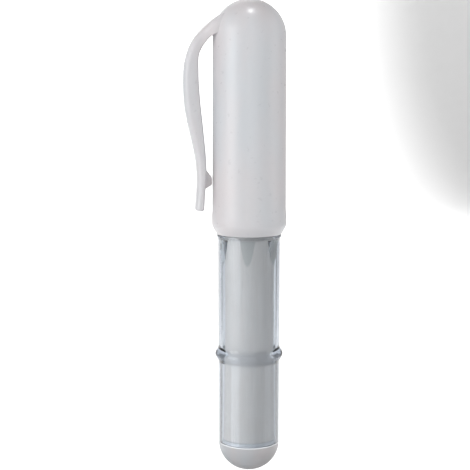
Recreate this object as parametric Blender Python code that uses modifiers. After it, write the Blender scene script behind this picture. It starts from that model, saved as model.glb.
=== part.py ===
# Pen-style chalk liner: a capped marking pen that draws a line of chalk powder with a toothed wheel.
# Units are metres, +Z runs up the pen from its tail to the crown of its cap, and the origin is the
# centre of the small flat on the tail. The pocket clip points along -X.

import math

import bmesh
import bpy

MM = 0.001
SIDES = 48  # facets round the barrel and the cap
SMALL_SIDES = 24  # facets round pins and small bores
TINY = 1e-6  # merge distance of turned pieces

# Overall
TOTAL_LENGTH = 120.0 * MM
BARREL_RADIUS = 7.85 * MM  # every other radius follows this one
REST_GAP = 0.3 * MM  # between pieces that touch
PIECE_CLEARANCE = 0.3 * MM  # radial, between spigots and their sockets

# Barrel
BARREL_WALL = 1.1 * MM
BEAD_PROUD = 0.83 * MM
BEAD_HEIGHT = 4.1 * MM
BEAD_CENTRE_Z = 30.2 * MM
SHOULDER_PROUD = 0.35 * MM
SHOULDER_LAND = 0.5 * MM
SHOULDER_FLARE = 1.9 * MM
NECK_CLEARANCE = 0.4 * MM  # radial, between the neck and the cap's bore
NECK_LENGTH = 13.5 * MM
SNAP_BEAD = 0.2 * MM  # how far the neck's snap bead stands proud
SNAP_BEAD_HEIGHT = 1.6 * MM
SNAP_BEAD_RISE = 5.0 * MM  # above the shoulder

# Cap
CAP_LENGTH = 58.5 * MM
CAP_WALL = 1.5 * MM  # round the domed end
CAP_MOUTH_ROUND = 1.26 * MM  # how far the rounding at the mouth reaches inwards
CAP_MOUTH_HEIGHT = 2.2 * MM  # and upwards
CAP_LIP_HEIGHT = 2.6 * MM  # from the rounding to the lip's upper edge
CAP_LIP_SLOPE = 1.2 * MM  # height over which the lip runs out into the cap's side
CAP_LIP_PROUD = 0.17 * MM
CAP_DRAFT = 0.15 * MM  # how much narrower the cap is at its dome than above its lip
CAP_SEAT_SPARE = 1.0 * MM  # straight bore beyond what the neck and nozzle fill

# Clip
CLIP_WIDTH = 5.0 * MM
CLIP_EDGE_ROUND = 0.7 * MM
CLIP_LENGTH = 48.6 * MM  # from its root on the dome down to its tail
CLIP_ROOT_DROP = 3.78 * MM  # from the crown of the cap down to the root
CLIP_BOW_DROP = 15.2 * MM  # from the root down to where the clip stands furthest out
CLIP_BACK = 7.46 * MM  # from the cap's side to the clip's back at the bow
CLIP_GAP = 4.29 * MM  # from the cap's side to the clip's inner face at the bow
CLIP_WAIST_BACK = 4.13 * MM  # the same two at the pad
CLIP_WAIST_GAP = 1.92 * MM
CLIP_TAIL_BACK = 4.62 * MM  # and at the tail
CLIP_TAIL_GAP = 2.54 * MM
PAD_ABOVE_TAIL = 7.3 * MM
PAD_WIDTH = 2.4 * MM
PAD_FLAT = 1.4 * MM
PAD_SLOPE = 1.7 * MM

# End plug
PLUG_INSET = 0.05 * MM  # inside the barrel's outer wall
PLUG_DOME_HEIGHT = 7.3 * MM
PLUG_FLAT_RADIUS = 1.2 * MM
PLUG_STEP_HEIGHT = 0.3 * MM  # the ring that the cartridge sits on
PLUG_SPIGOT_LENGTH = 5.4 * MM
PLUG_WALL = 1.3 * MM

# Cartridge
CARTRIDGE_CLEARANCE = 0.48 * MM  # radial, in the barrel
CARTRIDGE_WALL = 0.8 * MM
LID_BELOW_NOZZLE = 1.85 * MM
LID_THICKNESS = 1.2 * MM
LID_SPIGOT = 2.5 * MM
NIPPLE_RADIUS = 2.6 * MM
NIPPLE_LENGTH = 5.0 * MM
NIPPLE_BORE = 1.2 * MM

# Nozzle
NOZZLE_SKIRT = 8.0 * MM
NOZZLE_FLANGE = 1.5 * MM
NOZZLE_FLANGE_INSET = 0.2 * MM  # inside the neck's outer wall
NOZZLE_CONE_INSET = 0.9 * MM  # from the flange's edge to the cone
NOZZLE_CONE_HEIGHT = 21.2 * MM
NOZZLE_BORE = 1.5 * MM

# Wheel and its housing
WHEEL_RADIUS = 2.6 * MM
WHEEL_TOOTH = 0.4 * MM
WHEEL_TEETH = 24
WHEEL_THICKNESS = 0.9 * MM
WHEEL_CLEARANCE = 0.3 * MM
WHEEL_STANDS_OUT = 1.4 * MM  # above the housing's top
HOUSING_WALL = 0.7 * MM
HOUSING_ROUND = 1.5 * MM
HOUSING_STEP = 1.2 * MM  # from its side in to its spigot
HOUSING_SPIGOT = 4.5 * MM
HOUSING_FLOOR = 3.0 * MM  # under the wheel's pocket
AXLE_RADIUS = 0.5 * MM
AXLE_RUNNING_CLEARANCE = 0.08 * MM
AXLE_SEAT_CLEARANCE = 0.15 * MM
AXLE_RECESS = 0.4 * MM

# Radii that follow
BARREL_BORE = BARREL_RADIUS - BARREL_WALL
SHOULDER_RADIUS = BARREL_RADIUS + SHOULDER_PROUD
CAP_RIM_RADIUS = SHOULDER_RADIUS
CAP_BORE = CAP_RIM_RADIUS - REST_GAP
CAP_LIP_RADIUS = CAP_RIM_RADIUS + CAP_MOUTH_ROUND
CAP_LOWER_RADIUS = CAP_LIP_RADIUS - CAP_LIP_PROUD
CAP_CROWN_RADIUS = CAP_LOWER_RADIUS - CAP_DRAFT
NECK_RADIUS = CAP_BORE - NECK_CLEARANCE
PLUG_RADIUS = BARREL_RADIUS - PLUG_INSET
CARTRIDGE_RADIUS = BARREL_BORE - CARTRIDGE_CLEARANCE
CARTRIDGE_BORE = CARTRIDGE_RADIUS - CARTRIDGE_WALL
SPIGOT_RADIUS = CARTRIDGE_BORE - PIECE_CLEARANCE
PLUG_HOLLOW = SPIGOT_RADIUS - PLUG_WALL
POCKET_RADIUS = WHEEL_RADIUS + WHEEL_CLEARANCE
HOUSING_RADIUS = POCKET_RADIUS + HOUSING_WALL
HOUSING_SPIGOT_RADIUS = HOUSING_RADIUS - HOUSING_STEP
AXLE_LENGTH = 2 * (HOUSING_RADIUS - AXLE_RECESS)

# Heights that follow, from the tail up
BARREL_BASE_Z = PLUG_DOME_HEIGHT + REST_GAP
PLUG_STEP_Z = PLUG_DOME_HEIGHT + PLUG_STEP_HEIGHT
PLUG_TOP_Z = PLUG_STEP_Z + PLUG_SPIGOT_LENGTH
CARTRIDGE_BASE_Z = PLUG_STEP_Z + REST_GAP
CAP_RIM_Z = TOTAL_LENGTH - CAP_LENGTH
DOME_CENTRE_Z = TOTAL_LENGTH - CAP_CROWN_RADIUS
SHOULDER_Z = CAP_RIM_Z - REST_GAP
NECK_TOP_Z = SHOULDER_Z + NECK_LENGTH
NOZZLE_SEAT_Z = NECK_TOP_Z + REST_GAP
NOZZLE_SKIRT_Z = NOZZLE_SEAT_Z - NOZZLE_SKIRT
NOZZLE_CONE_Z = NOZZLE_SEAT_Z + NOZZLE_FLANGE
NOZZLE_TOP_Z = NOZZLE_CONE_Z + NOZZLE_CONE_HEIGHT
LID_TOP_Z = NOZZLE_SKIRT_Z - LID_BELOW_NOZZLE
LID_Z = LID_TOP_Z - LID_THICKNESS
NIPPLE_TOP_Z = LID_TOP_Z + NIPPLE_LENGTH
CARTRIDGE_TOP_Z = LID_Z - REST_GAP
HOUSING_SPIGOT_Z = NOZZLE_TOP_Z - HOUSING_SPIGOT
HOUSING_Z = NOZZLE_TOP_Z + REST_GAP
WHEEL_Z = HOUSING_Z + HOUSING_FLOOR + POCKET_RADIUS
HOUSING_TOP_Z = WHEEL_Z + WHEEL_RADIUS - WHEEL_STANDS_OUT
CAP_SEAT_TOP_Z = NOZZLE_CONE_Z + CAP_SEAT_SPARE


def clear_scene():
    for item in list(bpy.data.objects):
        bpy.data.objects.remove(item, do_unlink=True)


def new_collection(name):
    group = bpy.data.collections.new(name)
    bpy.context.scene.collection.children.link(group)
    return group


def plastic(name, colour, roughness=0.35, metallic=0.0, alpha=1.0):
    material = bpy.data.materials.new(name)
    material.use_nodes = True
    shader = material.node_tree.nodes["Principled BSDF"]
    shader.inputs["Base Color"].default_value = (*colour, 1.0)
    shader.inputs["Roughness"].default_value = roughness
    shader.inputs["Metallic"].default_value = metallic
    shader.inputs["Alpha"].default_value = alpha
    return material


def add_object(name, mesh, group, material=None):
    item = bpy.data.objects.new(name, mesh)
    group.objects.link(item)
    if material:
        mesh.materials.append(material)
    return item


def arc(centre_r, centre_z, radius_r, radius_z, start, end, steps):
    """Points on an ellipse in the profile plane; angles in degrees from +r towards +z."""
    points = []
    for i in range(steps + 1):
        angle = math.radians(start + (end - start) * i / steps)
        points.append((centre_r + radius_r * math.cos(angle), centre_z + radius_z * math.sin(angle)))
    return points


def turned(name, profile, group, material=None, closed=False, sides=SIDES):
    """A piece turned about Z from (r, z) points that run down its outer side and back up its inner side."""
    mesh = bpy.data.meshes.new(name)
    count = len(profile)
    edges = [(i, i + 1) for i in range(count - 1)]
    if closed:
        edges.append((count - 1, 0))
    mesh.from_pydata([(r, 0.0, z) for r, z in profile], edges, [])
    item = add_object(name, mesh, group, material)
    turn = item.modifiers.new("Turn", "SCREW")
    turn.axis = "Z"
    turn.angle = math.tau
    turn.steps = turn.render_steps = sides
    turn.use_merge_vertices = True
    turn.merge_threshold = TINY
    turn.use_smooth_shade = True
    return item


def cylinder(name, radius, length, centre, axis, group, material=None, sides=SMALL_SIDES):
    mesh = bpy.data.meshes.new(name)
    shape = bmesh.new()
    bmesh.ops.create_cone(
        shape, cap_ends=True, segments=sides, radius1=radius, radius2=radius, depth=length
    )
    shape.to_mesh(mesh)
    shape.free()
    item = add_object(name, mesh, group, material)
    item.location = centre
    if axis == "Y":
        item.rotation_euler = (math.pi / 2, 0.0, 0.0)
    return item


def box(name, low, high, group):
    mesh = bpy.data.meshes.new(name)
    shape = bmesh.new()
    bmesh.ops.create_cube(shape, size=1.0)
    for vertex in shape.verts:
        for i in range(3):
            vertex.co[i] = low[i] if vertex.co[i] < 0 else high[i]
    shape.to_mesh(mesh)
    shape.free()
    return add_object(name, mesh, group)


def flat_outline(name, splines, thickness, group):
    """A mesh plate in the XZ plane, centred on y = 0. Each spline is a list of (x, z, corner) points;
    a corner point is sharp and the others are smooth."""
    curve = bpy.data.curves.new(name, "CURVE")
    curve.dimensions = "2D"
    curve.fill_mode = "BOTH"
    curve.extrude = thickness / 2
    curve.resolution_u = 4
    curve.render_resolution_u = 4
    for points in splines:
        spline = curve.splines.new("BEZIER")
        spline.bezier_points.add(len(points) - 1)
        spline.use_cyclic_u = True
        for knot, (x, z, corner) in zip(spline.bezier_points, points):
            knot.co = (x, z, 0.0)
            knot.handle_left_type = knot.handle_right_type = "VECTOR" if corner else "AUTO"
    source = bpy.data.objects.new(name + "_outline", curve)
    group.objects.link(source)
    source.rotation_euler = (math.pi / 2, 0.0, 0.0)
    bpy.context.view_layer.update()
    evaluated = source.evaluated_get(bpy.context.evaluated_depsgraph_get())
    mesh = bpy.data.meshes.new_from_object(evaluated)
    shape = bmesh.new()
    shape.from_mesh(mesh)
    bmesh.ops.remove_doubles(shape, verts=shape.verts, dist=TINY)
    bmesh.ops.dissolve_limit(
        shape, angle_limit=math.radians(0.5), verts=shape.verts, edges=shape.edges
    )
    shape.transform(source.matrix_world)
    shape.to_mesh(mesh)
    shape.free()
    bpy.data.objects.remove(source, do_unlink=True)
    return add_object(name, mesh, group)


def boolean(item, other, operation):
    step = item.modifiers.new(operation.title(), "BOOLEAN")
    step.operation = operation
    step.object = other
    other.hide_render = True
    other.display_type = "WIRE"


def cap_outside(offset=0.0):
    """The cap's outer profile, from the crown to the lip, moved outwards by offset."""
    crown = CAP_CROWN_RADIUS + offset
    lip_z = CAP_RIM_Z + CAP_MOUTH_HEIGHT + CAP_LIP_HEIGHT
    profile = arc(0.0, DOME_CENTRE_Z, crown, crown, 90, 0, 12)
    profile[0] = (0.0, DOME_CENTRE_Z + crown)
    profile.append((CAP_LOWER_RADIUS + offset, lip_z + CAP_LIP_SLOPE))
    profile.append((CAP_LIP_RADIUS + offset, lip_z))
    return profile


def make_cap_shell(group, white):
    mouth_z = CAP_RIM_Z + CAP_MOUTH_HEIGHT
    inner_crown = CAP_CROWN_RADIUS - CAP_WALL
    profile = cap_outside()
    profile += arc(CAP_RIM_RADIUS, mouth_z, CAP_MOUTH_ROUND, CAP_MOUTH_HEIGHT, 0, -90, 4)
    profile.append((CAP_BORE, CAP_RIM_Z))
    profile.append((CAP_BORE, CAP_SEAT_TOP_Z))
    profile.append((inner_crown, CAP_SEAT_TOP_Z + CAP_BORE - inner_crown))
    profile += arc(0.0, DOME_CENTRE_Z, inner_crown, inner_crown, 0, 90, 8)
    profile[-1] = (0.0, DOME_CENTRE_Z + inner_crown)
    return turned("cap_shell", profile, group, white)


def make_cap_clip(group, cutters, white):
    side = CAP_CROWN_RADIUS
    root_z = TOTAL_LENGTH - CLIP_ROOT_DROP
    root_out = math.sqrt(side**2 - (root_z - DOME_CENTRE_Z) ** 2)
    tail_z = root_z - CLIP_LENGTH
    pad_z = tail_z + PAD_ABOVE_TAIL
    bow_z = root_z - CLIP_BOW_DROP

    # The bow, as shares of how far it stands out and of its drop from the root
    back = [(root_out - 0.5 * MM, root_z + 0.4 * MM, True)]
    for out_share, drop_share in ((0.28, 0.20), (0.69, 0.43), (0.94, 0.76), (1.0, 1.0)):
        back.append((side + CLIP_BACK * out_share, root_z - CLIP_BOW_DROP * drop_share, False))
    back.append((side + CLIP_BACK * 0.97, bow_z - CLIP_BOW_DROP * 0.4, False))
    back.append((side + CLIP_WAIST_BACK, pad_z + 1.6 * MM, False))
    back.append((side + CLIP_WAIST_BACK, pad_z - 0.3 * MM, False))
    back.append((side + CLIP_TAIL_BACK, tail_z, True))

    inner = [(side + CLIP_TAIL_GAP, tail_z, True)]
    inner.append((side + CLIP_WAIST_GAP + 0.3 * MM, pad_z - 2.6 * MM, False))
    inner.append((side + CLIP_WAIST_GAP, pad_z + 2.0 * MM, False))
    inner.append((side + CLIP_GAP * 0.92, bow_z - CLIP_BOW_DROP * 0.4, False))
    for out_share, drop_share in ((1.0, 0.95), (0.885, 0.625), (0.42, 0.44)):
        inner.append((side + CLIP_GAP * out_share, root_z - CLIP_BOW_DROP * drop_share, False))
    inner.append((side - 0.6 * MM, root_z - CLIP_BOW_DROP * 0.31, True))

    points = [(-out, z, corner) for out, z, corner in back + inner]
    clip = flat_outline("cap_clip", [points], CLIP_WIDTH, group)
    clip.data.materials.append(white)
    edges = clip.modifiers.new("Edges", "BEVEL")
    edges.width = CLIP_EDGE_ROUND
    edges.segments = 2
    edges.limit_method = "ANGLE"
    edges.angle_limit = math.radians(50)

    pad_tip = CAP_LOWER_RADIUS + REST_GAP
    pad_base = side + CLIP_WAIST_GAP + 0.8 * MM
    pad_points = [
        (-pad_base, pad_z + PAD_FLAT / 2 + PAD_SLOPE, True),
        (-pad_base, pad_z - PAD_FLAT / 2 - PAD_SLOPE, True),
        (-pad_tip, pad_z - PAD_FLAT / 2, True),
        (-pad_tip, pad_z + PAD_FLAT / 2, True),
    ]
    pad = flat_outline("clip_pad", [pad_points], PAD_WIDTH, cutters)
    boolean(clip, pad, "UNION")

    # The root follows the dome, a gap away from it.
    envelope = cap_outside(REST_GAP)
    envelope.append((CAP_LIP_RADIUS + REST_GAP, CAP_RIM_Z))
    envelope.append((0.0, CAP_RIM_Z))
    cap_space = turned("cap_space", envelope, cutters)
    boolean(clip, cap_space, "DIFFERENCE")
    return clip


def bead(radius, proud, centre, height, steps):
    """A smooth ring round a tube, as profile points from its top to its bottom."""
    points = []
    for i in range(steps + 1):
        share = i / steps
        rise = proud * (1 - math.cos(math.tau * share)) / 2
        points.append((radius + rise, centre + height * (0.5 - share)))
    return points


def make_barrel(group, clear):
    profile = [(NECK_RADIUS - REST_GAP, NECK_TOP_Z), (NECK_RADIUS, NECK_TOP_Z - REST_GAP)]
    profile += bead(NECK_RADIUS, SNAP_BEAD, SHOULDER_Z + SNAP_BEAD_RISE, SNAP_BEAD_HEIGHT, 4)
    profile.append((NECK_RADIUS, SHOULDER_Z))
    profile.append((SHOULDER_RADIUS, SHOULDER_Z))
    profile += arc(
        SHOULDER_RADIUS,
        SHOULDER_Z - SHOULDER_LAND - SHOULDER_FLARE,
        -SHOULDER_PROUD,
        SHOULDER_FLARE,
        90,
        0,
        4,
    )
    profile += bead(BARREL_RADIUS, BEAD_PROUD, BEAD_CENTRE_Z, BEAD_HEIGHT, 10)
    profile.append((BARREL_RADIUS, BARREL_BASE_Z))
    profile.append((BARREL_BORE, BARREL_BASE_Z))
    profile.append((BARREL_BORE, NECK_TOP_Z))
    return turned("barrel", profile, group, clear, closed=True)


def make_end_plug(group, white):
    dome = []
    widest = math.degrees(math.acos(PLUG_FLAT_RADIUS / PLUG_RADIUS))
    depth = PLUG_DOME_HEIGHT / math.sin(math.radians(widest))
    for r, z in arc(0.0, PLUG_DOME_HEIGHT, PLUG_RADIUS, depth, 0, -widest, 10):
        dome.append((r, z))
    step_radius = BARREL_BORE - PIECE_CLEARANCE
    profile = arc(0.0, PLUG_DOME_HEIGHT, PLUG_HOLLOW, PLUG_HOLLOW, -90, 0, 5)
    profile[0] = (0.0, PLUG_DOME_HEIGHT - PLUG_HOLLOW)
    profile += [
        (PLUG_HOLLOW, PLUG_TOP_Z),
        (SPIGOT_RADIUS, PLUG_TOP_Z),
        (SPIGOT_RADIUS, PLUG_STEP_Z),
        (step_radius, PLUG_STEP_Z),
        (step_radius, PLUG_DOME_HEIGHT),
    ]
    profile += dome
    profile.append((0.0, 0.0))
    return turned("end_plug", profile, group, white)


def make_cartridge_tube(group, frosted):
    profile = [
        (CARTRIDGE_RADIUS, CARTRIDGE_TOP_Z),
        (CARTRIDGE_RADIUS, CARTRIDGE_BASE_Z),
        (CARTRIDGE_BORE, CARTRIDGE_BASE_Z),
        (CARTRIDGE_BORE, CARTRIDGE_TOP_Z),
    ]
    return turned("cartridge_tube", profile, group, frosted, closed=True)


def make_cartridge_lid(group, white):
    profile = [
        (NIPPLE_RADIUS, NIPPLE_TOP_Z),
        (NIPPLE_RADIUS, LID_TOP_Z),
        (CARTRIDGE_RADIUS, LID_TOP_Z),
        (CARTRIDGE_RADIUS, LID_Z),
        (SPIGOT_RADIUS, LID_Z),
        (SPIGOT_RADIUS, CARTRIDGE_TOP_Z - LID_SPIGOT),
        (NIPPLE_BORE, CARTRIDGE_TOP_Z - LID_SPIGOT),
        (NIPPLE_BORE, NIPPLE_TOP_Z),
    ]
    return turned("cartridge_lid", profile, group, white, closed=True)


def make_chalk_powder(group, chalk):
    top = CARTRIDGE_TOP_Z - LID_SPIGOT - REST_GAP
    foot = PLUG_HOLLOW - REST_GAP
    profile = [
        (0.0, top),
        (SPIGOT_RADIUS, top),
        (SPIGOT_RADIUS, PLUG_TOP_Z + REST_GAP),
        (foot, PLUG_TOP_Z + REST_GAP),
    ]
    profile += arc(0.0, PLUG_DOME_HEIGHT, foot, foot, 0, -90, 5)
    profile[-1] = (0.0, PLUG_DOME_HEIGHT - foot)
    return turned("chalk_powder", profile, group, chalk, sides=32)


def make_nozzle(group, white):
    socket = NIPPLE_RADIUS + PIECE_CLEARANCE
    socket_top = NIPPLE_TOP_Z + REST_GAP
    counterbore = HOUSING_SPIGOT_RADIUS + PIECE_CLEARANCE
    skirt = BARREL_BORE - PIECE_CLEARANCE
    flange = NECK_RADIUS - NOZZLE_FLANGE_INSET
    profile = [
        (HOUSING_RADIUS, NOZZLE_TOP_Z),
        (flange - NOZZLE_CONE_INSET, NOZZLE_CONE_Z),
        (flange, NOZZLE_CONE_Z),
        (flange, NOZZLE_SEAT_Z),
        (skirt, NOZZLE_SEAT_Z),
        (skirt, NOZZLE_SKIRT_Z),
        (socket, NOZZLE_SKIRT_Z),
        (socket, socket_top),
        (NOZZLE_BORE, socket_top),
        (NOZZLE_BORE, HOUSING_SPIGOT_Z - REST_GAP),
        (counterbore, HOUSING_SPIGOT_Z - REST_GAP),
        (counterbore, NOZZLE_TOP_Z),
    ]
    return turned("nozzle", profile, group, white, closed=True)


def make_wheel_housing(group, cutters, white):
    profile = [(0.0, HOUSING_TOP_Z)]
    round_centre = HOUSING_RADIUS - HOUSING_ROUND
    profile += arc(
        round_centre, HOUSING_TOP_Z - HOUSING_ROUND, HOUSING_ROUND, HOUSING_ROUND, 90, 0, 4
    )
    profile.append((HOUSING_RADIUS, HOUSING_Z))
    profile.append((HOUSING_SPIGOT_RADIUS, HOUSING_Z))
    profile.append((HOUSING_SPIGOT_RADIUS, HOUSING_SPIGOT_Z))
    profile.append((0.0, HOUSING_SPIGOT_Z))
    housing = turned("wheel_housing", profile, group, white, sides=36)

    width = WHEEL_THICKNESS + 2 * WHEEL_CLEARANCE
    centre = (0.0, 0.0, WHEEL_Z)
    pocket = cylinder("wheel_pocket", POCKET_RADIUS, width, centre, "Y", cutters, sides=36)
    low = (-POCKET_RADIUS, -width / 2, WHEEL_Z)
    high = (POCKET_RADIUS, width / 2, HOUSING_TOP_Z + 2 * MM)
    slot = box("wheel_slot", low, high, cutters)
    feed_length = WHEEL_Z - HOUSING_SPIGOT_Z + 2 * MM
    feed_centre = (0.0, 0.0, WHEEL_Z - feed_length / 2)
    feed = cylinder("powder_feed", NIPPLE_BORE, feed_length, feed_centre, "Z", cutters)
    hole_radius = AXLE_RADIUS + AXLE_SEAT_CLEARANCE
    hole = cylinder("axle_hole", hole_radius, 3 * HOUSING_RADIUS, centre, "Y", cutters)
    for cutter in (pocket, slot, feed, hole):
        boolean(housing, cutter, "DIFFERENCE")
    return housing


def make_wheel_axle(group, steel):
    centre = (0.0, 0.0, WHEEL_Z)
    return cylinder("wheel_axle", AXLE_RADIUS, AXLE_LENGTH, centre, "Y", group, steel)


def make_marking_wheel(group, cutters, brass):
    """A toothed disc whose origin is on its axle."""
    mesh = bpy.data.meshes.new("marking_wheel")
    shape = bmesh.new()
    bmesh.ops.create_cone(
        shape,
        cap_ends=True,
        segments=2 * WHEEL_TEETH,
        radius1=WHEEL_RADIUS,
        radius2=WHEEL_RADIUS,
        depth=WHEEL_THICKNESS,
    )
    for vertex in shape.verts:
        turn = math.atan2(vertex.co.y, vertex.co.x) / math.tau * 2 * WHEEL_TEETH
        if round(turn) % 2:
            vertex.co.xy *= 1 - WHEEL_TOOTH / WHEEL_RADIUS
    shape.to_mesh(mesh)
    shape.free()
    wheel = add_object("marking_wheel", mesh, group, brass)
    wheel.location = (0.0, 0.0, WHEEL_Z)
    wheel.rotation_euler = (math.pi / 2, 0.0, 0.0)
    bore = cylinder(
        "wheel_bore",
        AXLE_RADIUS + AXLE_RUNNING_CLEARANCE,
        3 * WHEEL_THICKNESS,
        (0.0, 0.0, WHEEL_Z),
        "Y",
        cutters,
    )
    boolean(wheel, bore, "DIFFERENCE")
    return wheel


def main():
    clear_scene()
    parts = new_collection("chalk_liner_pen")
    cutters = new_collection("cutters")

    cap_white = plastic("cap_white_gloss", (0.82, 0.83, 0.83), 0.25)
    plug_white = plastic("plug_white_gloss", (0.80, 0.81, 0.81), 0.25)
    nozzle_white = plastic("nozzle_white", (0.78, 0.78, 0.77), 0.4)
    clear = plastic("barrel_clear", (0.86, 0.90, 0.93), 0.05, alpha=0.35)
    frosted = plastic("cartridge_frosted", (0.72, 0.73, 0.73), 0.5, alpha=0.8)
    chalk = plastic("chalk_white", (0.85, 0.85, 0.84), 0.95)
    brass = plastic("wheel_brass", (0.78, 0.60, 0.28), 0.3, metallic=1.0)
    steel = plastic("axle_steel", (0.62, 0.62, 0.63), 0.3, metallic=1.0)

    make_cap_shell(parts, cap_white)
    make_cap_clip(parts, cutters, cap_white)
    make_barrel(parts, clear)
    make_nozzle(parts, nozzle_white)
    make_wheel_housing(parts, cutters, nozzle_white)
    make_wheel_axle(parts, steel)
    make_marking_wheel(parts, cutters, brass)
    make_cartridge_tube(parts, frosted)
    make_cartridge_lid(parts, nozzle_white)
    make_chalk_powder(parts, chalk)
    make_end_plug(parts, plug_white)


main()
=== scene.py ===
import math

import bmesh
import bpy
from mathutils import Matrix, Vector


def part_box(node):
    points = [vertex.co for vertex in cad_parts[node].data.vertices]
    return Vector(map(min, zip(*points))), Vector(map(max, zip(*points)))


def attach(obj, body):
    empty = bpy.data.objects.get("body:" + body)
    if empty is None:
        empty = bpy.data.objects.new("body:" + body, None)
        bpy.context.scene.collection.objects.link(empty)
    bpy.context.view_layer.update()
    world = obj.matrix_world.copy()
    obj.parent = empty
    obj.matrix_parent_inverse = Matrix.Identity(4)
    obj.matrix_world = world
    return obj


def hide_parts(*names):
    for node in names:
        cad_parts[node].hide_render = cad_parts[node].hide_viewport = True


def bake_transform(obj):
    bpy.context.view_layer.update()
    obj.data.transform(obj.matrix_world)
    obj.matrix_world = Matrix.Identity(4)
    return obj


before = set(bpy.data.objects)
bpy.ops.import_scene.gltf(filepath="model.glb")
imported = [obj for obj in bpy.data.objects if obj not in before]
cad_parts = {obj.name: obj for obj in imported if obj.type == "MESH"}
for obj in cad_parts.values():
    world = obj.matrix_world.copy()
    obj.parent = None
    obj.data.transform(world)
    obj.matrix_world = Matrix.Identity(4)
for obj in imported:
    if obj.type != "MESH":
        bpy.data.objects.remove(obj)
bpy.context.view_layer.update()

mm = 0.001
penAxis = (0, 0, 1)


def startPiece():
    bpy.ops.object.select_all(action="DESELECT")
    bpy.context.view_layer.objects.active = None


def settlePlace():  # the place goes into the mesh, so the object ends at the origin
    bpy.ops.object.transform_apply(location=True, rotation=True, scale=True)


def pick(kind, test):  # selects by place or normal in the mesh being edited
    bpy.ops.mesh.select_mode(type=kind)
    bpy.ops.mesh.select_all(action="DESELECT")
    shape = bmesh.from_edit_mesh(bpy.context.edit_object.data)
    items = {"VERT": shape.verts, "EDGE": shape.edges, "FACE": shape.faces}[kind]
    for item in items:
        if test(item):
            item.select_set(True)
    shape.select_flush_mode()
    bmesh.update_edit_mesh(bpy.context.edit_object.data)


def arcPoints(centre, reach, start, end, steps):  # (radius, height) points on an ellipse, in mm
    points = []
    for i in range(steps + 1):
        angle = math.radians(start + (end - start) * i / steps)
        points.append((centre[0] + reach[0] * math.cos(angle), centre[1] + reach[1] * math.sin(angle)))
    return points


def ringBump(radius, proud, middle, height, steps):  # a soft ring on a tube, from its top down
    points = []
    for i in range(steps + 1):
        share = i / steps
        rise = proud * (1 - math.cos(math.tau * share)) / 2
        points.append((radius + rise, middle + height * (0.5 - share)))
    return points


def turnPiece(name, profile, steps, closed=False):
    # One vertex is drawn along the profile, its corners are rounded, and it is spun about the pen's axis.
    # A profile point is (radius, height) or (radius, height, rounding), all in mm.
    first = profile[0]
    startPiece()
    bpy.ops.mesh.primitive_plane_add(size=mm, location=(first[0] * mm, 0, first[1] * mm))
    piece = bpy.context.active_object
    piece.name = piece.data.name = name
    settlePlace()
    bpy.ops.object.mode_set(mode="EDIT")
    bpy.ops.mesh.select_mode(type="VERT")
    bpy.ops.mesh.select_all(action="SELECT")
    bpy.ops.mesh.merge(type="CENTER")
    for before, after in zip(profile, profile[1:]):
        step = ((after[0] - before[0]) * mm, 0, (after[1] - before[1]) * mm)
        bpy.ops.mesh.extrude_region_move(TRANSFORM_OT_translate={"value": step})
    if closed:
        ends = (profile[0], profile[-1])
        pick("VERT", lambda v: any(math.hypot(v.co.x - e[0] * mm, v.co.z - e[1] * mm) < 1e-6 for e in ends))
        bpy.ops.mesh.edge_face_add()
    for rounding in sorted({point[2] for point in profile if len(point) > 2}, reverse=True):
        corners = [point for point in profile if len(point) > 2 and point[2] == rounding]
        pick("VERT", lambda v: any(math.hypot(v.co.x - c[0] * mm, v.co.z - c[1] * mm) < 1e-6
                                   for c in corners))
        bpy.ops.mesh.bevel(offset=rounding * mm, segments=4, affect="VERTICES")
    bpy.ops.mesh.select_all(action="SELECT")
    bpy.ops.mesh.spin(steps=steps, angle=math.tau, center=(0, 0, 0), axis=penAxis, use_auto_merge=True)
    bpy.ops.mesh.select_all(action="SELECT")
    bpy.ops.mesh.remove_doubles(threshold=1e-6)
    bpy.ops.mesh.normals_make_consistent(inside=False)
    bpy.ops.object.mode_set(mode="OBJECT")
    return piece


def applyModifier(piece, kind, **settings):
    startPiece()
    piece.select_set(True)
    bpy.context.view_layer.objects.active = piece
    step = piece.modifiers.new(kind.title(), kind)
    for key, value in settings.items():
        setattr(step, key, value)
    bpy.ops.object.modifier_apply(modifier=step.name)


def cutAway(piece, cutter, operation="DIFFERENCE"):
    applyModifier(piece, "BOOLEAN", object=cutter, operation=operation, solver="EXACT")
    bpy.data.objects.remove(cutter, do_unlink=True)


def finishPiece(piece, material, nodes, body=None, smooth=32):
    startPiece()
    piece.select_set(True)
    bpy.context.view_layer.objects.active = piece
    bpy.ops.object.shade_smooth_by_angle(angle=math.radians(smooth))
    piece.data.materials.clear()
    piece.data.materials.append(material)
    if body:
        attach(piece, body)
    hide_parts(*nodes)
    triangles = sum(len(face.vertices) - 2 for face in piece.data.polygons)
    print("made", piece.name, triangles, "triangles")


def toLinear(hexColour):
    channels = [int(hexColour[i:i + 2], 16) / 255 for i in (1, 3, 5)]
    return (*[c / 12.92 if c <= 0.04045 else ((c + 0.055) / 1.055) ** 2.4 for c in channels], 1)


def startMaterial(name):
    material = bpy.data.materials.new(name)
    material.use_nodes = True
    return material, material.node_tree.nodes["Principled BSDF"]


def addNode(material, kind, links=(), stops=None, **settings):
    # links are (input, value or output socket); a setting is the node's own option
    node = material.node_tree.nodes.new(kind)
    for key, value in settings.items():
        setattr(node, key, value)
    for name, value in links:
        if isinstance(value, bpy.types.NodeSocket):
            material.node_tree.links.new(value, node.inputs[name])
        else:
            node.inputs[name].default_value = value
    if stops:
        node.color_ramp.elements[0].position, node.color_ramp.elements[0].color = stops[0]
        node.color_ramp.elements[1].position, node.color_ramp.elements[1].color = stops[1]
    return node


def perMm(size):  # noise scale on Object coordinates for a feature of that size
    return 1000 / size


def grey(value):
    return (value, value, value, 1)


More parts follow.
